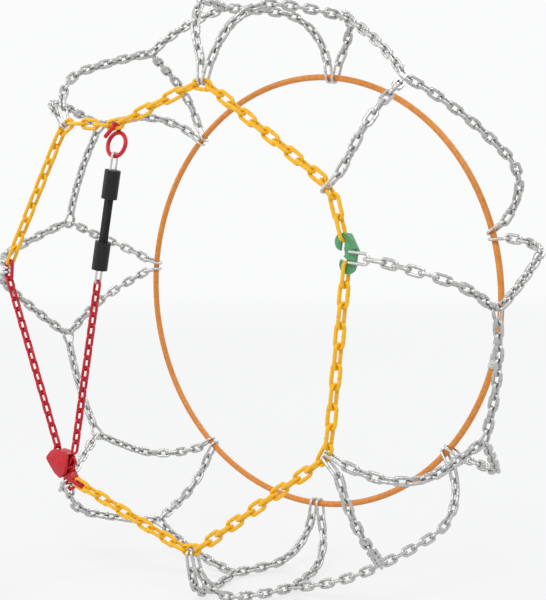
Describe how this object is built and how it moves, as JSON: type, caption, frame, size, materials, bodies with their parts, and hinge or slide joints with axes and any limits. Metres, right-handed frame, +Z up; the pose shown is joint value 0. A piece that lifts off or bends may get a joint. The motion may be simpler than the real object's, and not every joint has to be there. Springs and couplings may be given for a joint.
{
  "type": "tyre snow chain",
  "caption": "Snow chain net for a car tyre: side chain, zigzag tread chain, closing hook, sprung tensioner and ratchet lock, in place on the wheel.",
  "frame": {"origin": "centre of the wheel that the chain is fitted to, on the wheel's axis in the tyre's middle plane", "axes": "Y along the wheel's axis with the outer side towards -Y, +Z up, +X towards the closing hook"},
  "size_m": [0.6541, 0.2428, 0.6534],
  "materials": {
    "yellow_coat": "yellow powder coat on steel chain, worn to bare metal at the crowns",
    "zinc": "zinc plated hardened steel",
    "red_coat": "red coated steel",
    "green_coat": "light green coated steel plate",
    "black_plastic": "black moulded plastic",
    "rubber": "black rubber",
    "cable_sheath": "orange plastic sheath over steel cable"
  },
  "bodies": {
    "net": {"side_chain_1": "yellow_coat", "side_chain_2": "yellow_coat", "side_chain_3": "yellow_coat", "side_chain_4": "yellow_coat", "side_chain_5": "yellow_coat", "side_chain_6": "yellow_coat", "side_chain_7": "yellow_coat", "tension_chain": "red_coat", "outer_arms_1": "zinc", "outer_arms_2": "zinc", "outer_arms_3": "zinc", "outer_arms_4": "zinc", "outer_arms_5": "zinc", "outer_arms_6": "zinc", "outer_arms_7": "zinc", "inner_arms_1": "zinc", "inner_arms_2": "zinc", "inner_arms_3": "zinc", "inner_arms_4": "zinc", "inner_arms_5": "zinc", "inner_arms_6": "zinc", "inner_arms_7": "zinc", "tread_runs": "zinc", "joint_links": "zinc", "outer_pear_hooks": "zinc", "inner_pear_hooks": "zinc", "closing_hook": "green_coat", "closing_loop": "zinc", "inner_cable": "cable_sheath", "cable_ends": "zinc", "cable_hook": "zinc", "lock_base": "red_coat", "lock_cover": "red_coat", "lock_spring": "zinc", "lock_rivet": "zinc"},
    "tension_hook": {"tension_hook": "red_coat"},
    "tensioner_top": {"upper_clip": "zinc", "upper_sleeve": "black_plastic", "rubber_band": "rubber"},
    "tensioner_foot": {"lower_sleeve": "black_plastic", "lower_clip": "zinc"},
    "lock_pawl": {"lock_pawl": "zinc"},
    "tail_link_1": {"tail_link_1": "red_coat"},
    "tail_link_2": {"tail_link_2": "red_coat"},
    "tail_link_3": {"tail_link_3": "red_coat"},
    "tail_link_4": {"tail_link_4": "red_coat"},
    "tail_link_5": {"tail_link_5": "red_coat"},
    "tail_link_6": {"tail_link_6": "red_coat"},
    "tail_link_7": {"tail_link_7": "red_coat"},
    "tail_link_8": {"tail_link_8": "red_coat"},
    "tail_link_9": {"tail_link_9": "red_coat"},
    "tail_link_10": {"tail_link_10": "red_coat"},
    "tail_link_11": {"tail_link_11": "red_coat"},
    "tail_link_12": {"tail_link_12": "red_coat"},
    "tail_link_13": {"tail_link_13": "red_coat"},
    "tail_link_14": {"tail_link_14": "red_coat"},
    "tail_link_15": {"tail_link_15": "red_coat"},
    "tail_link_16": {"tail_link_16": "red_coat"}
  },
  "joints": [
    {"name": "hook_swing", "type": "hinge", "parent": "net", "child": "tension_hook", "pos_m": [-0.09822, -0.11215, 0.1853], "axis": [-0.9894, 0, -0.1449], "range_deg": [0, 45]},
    {"name": "tensioner_swing", "type": "hinge", "parent": "tension_hook", "child": "tensioner_top", "pos_m": [-0.09822, -0.11427, 0.1554], "axis": [-1, 0, 0], "range_deg": [-20, 30]},
    {"name": "band_stretch", "type": "slide", "parent": "tensioner_top", "child": "tensioner_foot", "axis": [-0.2059, 0.0063, -0.9786], "range_m": [-0.009, 0], "stiffness_N_per_m": 300},
    {"name": "pawl_turn", "type": "hinge", "parent": "net", "child": "lock_pawl", "pos_m": [-0.18397, -0.11215, -0.18127], "axis": [0, -1, 0], "range_deg": [0, 20], "stiffness_Nm_per_rad": 0.05, "springref_deg": -11.46},
    {"name": "tail_link_1_swing", "type": "hinge", "parent": "tensioner_foot", "child": "tail_link_1", "pos_m": [-0.12679, -0.1134, 0.01958], "axis": [-0.9786, 0, 0.2059], "range_deg": [-60, 60]},
    {"name": "tail_link_2_swing", "type": "hinge", "parent": "tail_link_1", "child": "tail_link_2", "pos_m": [-0.13005, -0.11331, 0.0041], "axis": [0.9786, 0, -0.2059], "range_deg": [-60, 60]},
    {"name": "tail_link_3_swing", "type": "hinge", "parent": "tail_link_2", "child": "tail_link_3", "pos_m": [-0.1319, -0.11325, -0.00472], "axis": [-0.9786, 0, 0.2059], "range_deg": [-60, 60]},
    {"name": "tail_link_4_swing", "type": "hinge", "parent": "tail_link_3", "child": "tail_link_4", "pos_m": [-0.13516, -0.11315, -0.02019], "axis": [0.9786, 0, -0.2059], "range_deg": [-60, 60]},
    {"name": "tail_link_5_swing", "type": "hinge", "parent": "tail_link_4", "child": "tail_link_5", "pos_m": [-0.13702, -0.11309, -0.02902], "axis": [-0.9786, 0, 0.2059], "range_deg": [-60, 60]},
    {"name": "tail_link_6_swing", "type": "hinge", "parent": "tail_link_5", "child": "tail_link_6", "pos_m": [-0.14027, -0.11299, -0.04449], "axis": [0.9786, 0, -0.2059], "range_deg": [-60, 60]},
    {"name": "tail_link_7_swing", "type": "hinge", "parent": "tail_link_6", "child": "tail_link_7", "pos_m": [-0.14213, -0.11294, -0.05331], "axis": [-0.9786, 0, 0.2059], "range_deg": [-60, 60]},
    {"name": "tail_link_8_swing", "type": "hinge", "parent": "tail_link_7", "child": "tail_link_8", "pos_m": [-0.14538, -0.11284, -0.06879], "axis": [0.9786, 0, -0.2059], "range_deg": [-60, 60]},
    {"name": "tail_link_9_swing", "type": "hinge", "parent": "tail_link_8", "child": "tail_link_9", "pos_m": [-0.14724, -0.11278, -0.07761], "axis": [-0.9786, 0, 0.2059], "range_deg": [-60, 60]},
    {"name": "tail_link_10_swing", "type": "hinge", "parent": "tail_link_9", "child": "tail_link_10", "pos_m": [-0.15049, -0.11268, -0.09309], "axis": [0.9786, 0, -0.2059], "range_deg": [-60, 60]},
    {"name": "tail_link_11_swing", "type": "hinge", "parent": "tail_link_10", "child": "tail_link_11", "pos_m": [-0.15235, -0.11263, -0.10191], "axis": [-0.9786, 0, 0.2059], "range_deg": [-60, 60]},
    {"name": "tail_link_12_swing", "type": "hinge", "parent": "tail_link_11", "child": "tail_link_12", "pos_m": [-0.15561, -0.11253, -0.11738], "axis": [0.9786, 0, -0.2059], "range_deg": [-60, 60]},
    {"name": "tail_link_13_swing", "type": "hinge", "parent": "tail_link_12", "child": "tail_link_13", "pos_m": [-0.15746, -0.11247, -0.1262], "axis": [-0.9786, 0, 0.2059], "range_deg": [-60, 60]},
    {"name": "tail_link_14_swing", "type": "hinge", "parent": "tail_link_13", "child": "tail_link_14", "pos_m": [-0.16072, -0.11237, -0.14168], "axis": [0.9786, 0, -0.2059], "range_deg": [-60, 60]},
    {"name": "tail_link_15_swing", "type": "hinge", "parent": "tail_link_14", "child": "tail_link_15", "pos_m": [-0.16257, -0.11232, -0.1505], "axis": [-0.9786, 0, 0.2059], "range_deg": [-60, 60]},
    {"name": "tail_link_16_swing", "type": "hinge", "parent": "tail_link_15", "child": "tail_link_16", "pos_m": [-0.16583, -0.11222, -0.16598], "axis": [0.9786, 0, -0.2059], "range_deg": [-60, 60]}
  ]
}
